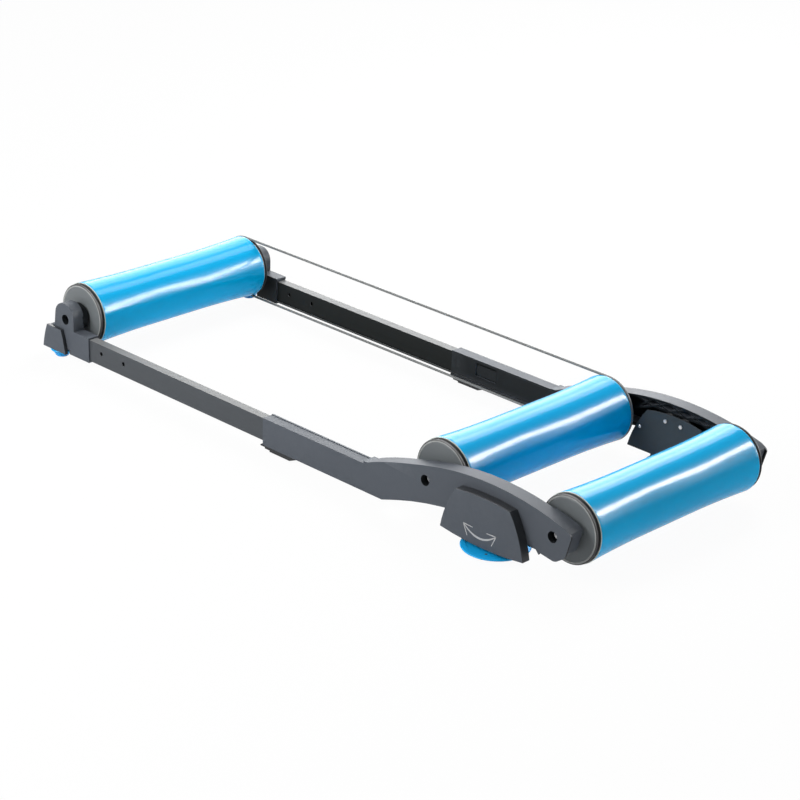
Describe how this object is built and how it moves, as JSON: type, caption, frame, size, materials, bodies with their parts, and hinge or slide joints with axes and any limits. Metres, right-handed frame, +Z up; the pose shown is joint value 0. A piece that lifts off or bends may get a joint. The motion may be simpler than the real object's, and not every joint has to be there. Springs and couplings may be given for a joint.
{
  "type": "bike rollers",
  "caption": "Folding training rollers for a bicycle: waisted rollers in a sliding two-rail frame that rocks to and fro on low feet with levelling discs.",
  "frame": {"origin": "middle of the footprint at floor level, under the middle plane of the open frame", "axes": "+X along the rails from the single front roller to the rear pair, +Y to the side with the drive belt, +Z up"},
  "size_m": [1.3184, 0.5636, 0.1395],
  "materials": {
    "slate_plastic": "satin, finely grained",
    "black_plastic": "matte",
    "roller_blue": "glossy",
    "cap_grey": "satin",
    "disc_blue": "satin",
    "rail_metal": "dark anodised, semi-gloss",
    "steel": "zinc plated",
    "belt_rubber": "matte"
  },
  "bodies": {
    "rear_frame": {"near_sleeve": "slate_plastic", "far_sleeve": "slate_plastic", "near_arm": "slate_plastic", "far_arm": "slate_plastic", "near_sleeve_clip": "black_plastic", "far_sleeve_clip": "black_plastic", "middle_axle": "steel", "middle_axle_bolt_near": "steel", "middle_axle_bolt_far": "steel", "rear_axle": "steel", "rear_axle_bolt_near": "steel", "rear_axle_bolt_far": "steel", "drive_belt": "belt_rubber"},
    "front_frame": {"near_rail": "rail_metal", "far_rail": "rail_metal", "near_front_bracket": "slate_plastic", "far_front_bracket": "slate_plastic", "front_axle": "steel", "front_axle_bolt_near": "steel", "front_axle_bolt_far": "steel"},
    "near_latch": {"near_latch_tongue": "black_plastic"},
    "far_latch": {"far_latch_tongue": "black_plastic"},
    "front_roller": {"front_roller_tube": "roller_blue", "front_roller_cap_near": "cap_grey", "front_roller_cap_far": "cap_grey", "front_bearing_near": "steel", "front_bearing_far": "steel"},
    "middle_roller": {"middle_roller_tube": "roller_blue", "middle_roller_cap_near": "cap_grey", "middle_roller_cap_far": "cap_grey", "middle_bearing_near": "steel", "middle_bearing_far": "steel"},
    "rear_roller": {"rear_roller_tube": "roller_blue", "rear_roller_cap_near": "cap_grey", "rear_roller_cap_far": "cap_grey", "rear_bearing_near": "steel", "rear_bearing_far": "steel"},
    "near_rear_foot": {"near_rear_foot_carrier": "slate_plastic", "near_rear_foot_cover": "slate_plastic", "near_rear_wheel_bolt_1": "steel", "near_rear_wheel_bolt_2": "steel"},
    "far_rear_foot": {"far_rear_foot_carrier": "slate_plastic", "far_rear_foot_cover": "slate_plastic", "far_rear_wheel_bolt_1": "steel", "far_rear_wheel_bolt_2": "steel"},
    "near_rear_disc": {"near_rear_foot_disc": "disc_blue"},
    "far_rear_disc": {"far_rear_foot_disc": "disc_blue"},
    "near_rear_roll_1": {"near_rear_wheel_1": "black_plastic"},
    "near_rear_roll_2": {"near_rear_wheel_2": "black_plastic"},
    "far_rear_roll_1": {"far_rear_wheel_1": "black_plastic"},
    "far_rear_roll_2": {"far_rear_wheel_2": "black_plastic"},
    "near_front_foot_body": {"near_front_foot": "slate_plastic", "near_front_wheel_bolt": "steel"},
    "far_front_foot_body": {"far_front_foot": "slate_plastic", "far_front_wheel_bolt": "steel"},
    "near_front_roll": {"near_front_wheel": "black_plastic"},
    "far_front_roll": {"far_front_wheel": "black_plastic"},
    "near_front_disc": {"near_front_foot_disc": "disc_blue"},
    "far_front_disc": {"far_front_foot_disc": "disc_blue"}
  },
  "joints": [
    {"name": "frame_retract", "type": "slide", "parent": "rear_frame", "child": "front_frame", "axis": [1, 0, 0], "range_m": [0, 0.451], "deforming": ["drive_belt"]},
    {"name": "middle_roller_spin", "type": "hinge", "parent": "rear_frame", "child": "middle_roller", "pos_m": [0.32724, 0, 0.08], "axis": [0, 1, 0], "continuous": true},
    {"name": "front_roller_spin", "type": "hinge", "parent": "front_frame", "child": "front_roller", "pos_m": [-0.59976, 0, 0.08], "axis": [0, 1, 0], "continuous": true},
    {"name": "rear_roller_spin", "type": "hinge", "parent": "rear_frame", "child": "rear_roller", "pos_m": [0.60024, 0, 0.08], "axis": [0, 1, 0], "continuous": true},
    {"name": "near_rear_foot_swing", "type": "slide", "parent": "rear_frame", "child": "near_rear_foot", "axis": [1, 0, 0], "range_m": [-0.025, 0.025], "stiffness_N_per_m": 110},
    {"name": "far_rear_foot_swing", "type": "slide", "parent": "rear_frame", "child": "far_rear_foot", "axis": [1, 0, 0], "range_m": [-0.025, 0.025], "stiffness_N_per_m": 110},
    {"name": "near_front_foot_swing", "type": "slide", "parent": "front_frame", "child": "near_front_foot_body", "axis": [1, 0, 0], "range_m": [-0.025, 0.025], "stiffness_N_per_m": 60},
    {"name": "far_front_foot_swing", "type": "slide", "parent": "front_frame", "child": "far_front_foot_body", "axis": [1, 0, 0], "range_m": [-0.025, 0.025], "stiffness_N_per_m": 60},
    {"name": "near_rear_wheel_1_spin", "type": "hinge", "parent": "near_rear_foot", "child": "near_rear_roll_1", "pos_m": [0.45174, -0.22465, 0.094], "axis": [0, 1, 0], "range_deg": [-165, 165]},
    {"name": "near_rear_wheel_2_spin", "type": "hinge", "parent": "near_rear_foot", "child": "near_rear_roll_2", "pos_m": [0.48474, -0.22465, 0.094], "axis": [0, 1, 0], "range_deg": [-165, 165]},
    {"name": "far_rear_wheel_1_spin", "type": "hinge", "parent": "far_rear_foot", "child": "far_rear_roll_1", "pos_m": [0.45174, 0.22465, 0.094], "axis": [0, 1, 0], "range_deg": [-165, 165]},
    {"name": "far_rear_wheel_2_spin", "type": "hinge", "parent": "far_rear_foot", "child": "far_rear_roll_2", "pos_m": [0.48474, 0.22465, 0.094], "axis": [0, 1, 0], "range_deg": [-165, 165]},
    {"name": "near_front_wheel_spin", "type": "hinge", "parent": "near_front_foot_body", "child": "near_front_roll", "pos_m": [-0.62576, -0.2348, 0.0467], "axis": [0, 1, 0], "range_deg": [-165, 165]},
    {"name": "far_front_wheel_spin", "type": "hinge", "parent": "far_front_foot_body", "child": "far_front_roll", "pos_m": [-0.62576, 0.2348, 0.0467], "axis": [0, 1, 0], "range_deg": [-165, 165]},
    {"name": "near_rear_disc_turn", "type": "hinge", "parent": "near_rear_foot", "child": "near_rear_disc", "pos_m": [0.46824, -0.2251, 0.006], "axis": [0, 0, 1], "continuous": true},
    {"name": "far_rear_disc_turn", "type": "hinge", "parent": "far_rear_foot", "child": "far_rear_disc", "pos_m": [0.46824, 0.2251, 0.006], "axis": [0, 0, 1], "continuous": true},
    {"name": "near_front_disc_turn", "type": "hinge", "parent": "near_front_foot_body", "child": "near_front_disc", "pos_m": [-0.62576, -0.232, 0.006], "axis": [0, 0, 1], "continuous": true},
    {"name": "far_front_disc_turn", "type": "hinge", "parent": "far_front_foot_body", "child": "far_front_disc", "pos_m": [-0.62576, 0.232, 0.006], "axis": [0, 0, 1], "continuous": true},
    {"name": "near_latch_press", "type": "hinge", "parent": "rear_frame", "child": "near_latch", "pos_m": [0.05224, -0.2212, 0.044], "axis": [0, 0, -1], "range_deg": [0, 8], "stiffness_Nm_per_rad": 0.6},
    {"name": "far_latch_press", "type": "hinge", "parent": "rear_frame", "child": "far_latch", "pos_m": [0.05224, 0.2212, 0.044], "axis": [0, 0, 1], "range_deg": [0, 8], "stiffness_Nm_per_rad": 0.6}
  ],
  "couplings": [
    {"joint": "front_roller_spin", "follows": "middle_roller_spin", "ratio": 1},
    {"joint": "far_rear_foot_swing", "follows": "near_rear_foot_swing", "ratio": 1},
    {"joint": "near_front_foot_swing", "follows": "near_rear_foot_swing", "ratio": 1},
    {"joint": "far_front_foot_swing", "follows": "near_rear_foot_swing", "ratio": 1},
    {"joint": "near_rear_wheel_1_spin", "follows": "near_rear_foot_swing", "rad_per_m": -90.909},
    {"joint": "near_rear_wheel_2_spin", "follows": "near_rear_foot_swing", "rad_per_m": -90.909},
    {"joint": "far_rear_wheel_1_spin", "follows": "near_rear_foot_swing", "rad_per_m": -90.909},
    {"joint": "far_rear_wheel_2_spin", "follows": "near_rear_foot_swing", "rad_per_m": -90.909},
    {"joint": "near_front_wheel_spin", "follows": "near_rear_foot_swing", "rad_per_m": -111.11},
    {"joint": "far_front_wheel_spin", "follows": "near_rear_foot_swing", "rad_per_m": -111.11}
  ]
}
